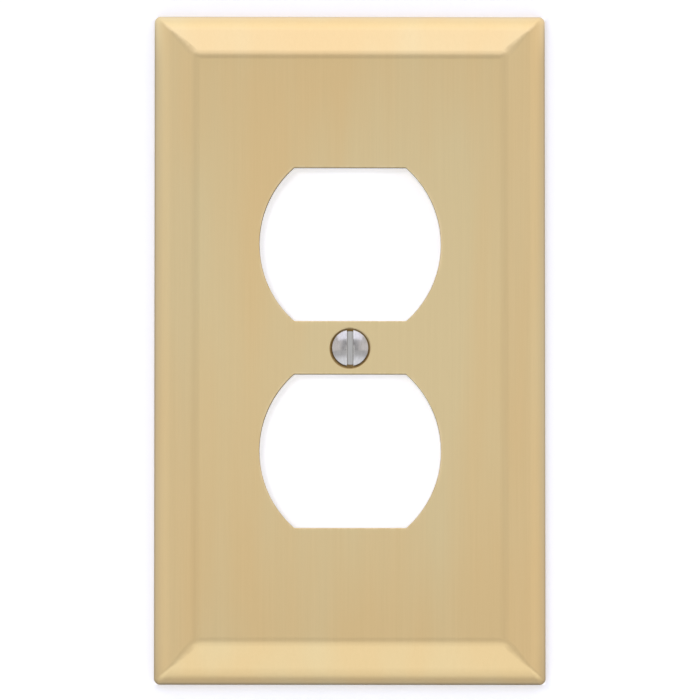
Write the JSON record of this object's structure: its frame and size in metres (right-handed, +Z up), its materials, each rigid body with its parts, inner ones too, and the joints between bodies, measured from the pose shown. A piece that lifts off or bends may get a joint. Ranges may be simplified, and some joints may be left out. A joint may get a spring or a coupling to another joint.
{
  "type": "duplex receptacle wall plate",
  "caption": "Bevelled pressed-steel wall plate with two barrel-shaped receptacle openings and a slotted oval-head mounting screw in a dimpled hole.",
  "frame": {"origin": "on the screw's axis, in the plane of the rim that lies on the wall", "axes": "+Z up the plate's height, +X across its width, -Y out of its front, +Y into the wall"},
  "size_m": [0.0734, 0.0138, 0.126],
  "materials": {
    "satin_brass": "satin brass lacquer over pressed steel, with a fine upright brushed grain",
    "screw_steel": "bright nickel-plated steel, turned and slotted"
  },
  "bodies": {
    "plate": {"wall_plate": "satin_brass"},
    "screw": {"mounting_screw": "screw_steel"}
  },
  "joints": [
    {"name": "screw_withdraw", "type": "slide", "parent": "plate", "child": "screw", "axis": [0, -1, 0], "range_m": [0, 0.0127]}
  ]
}
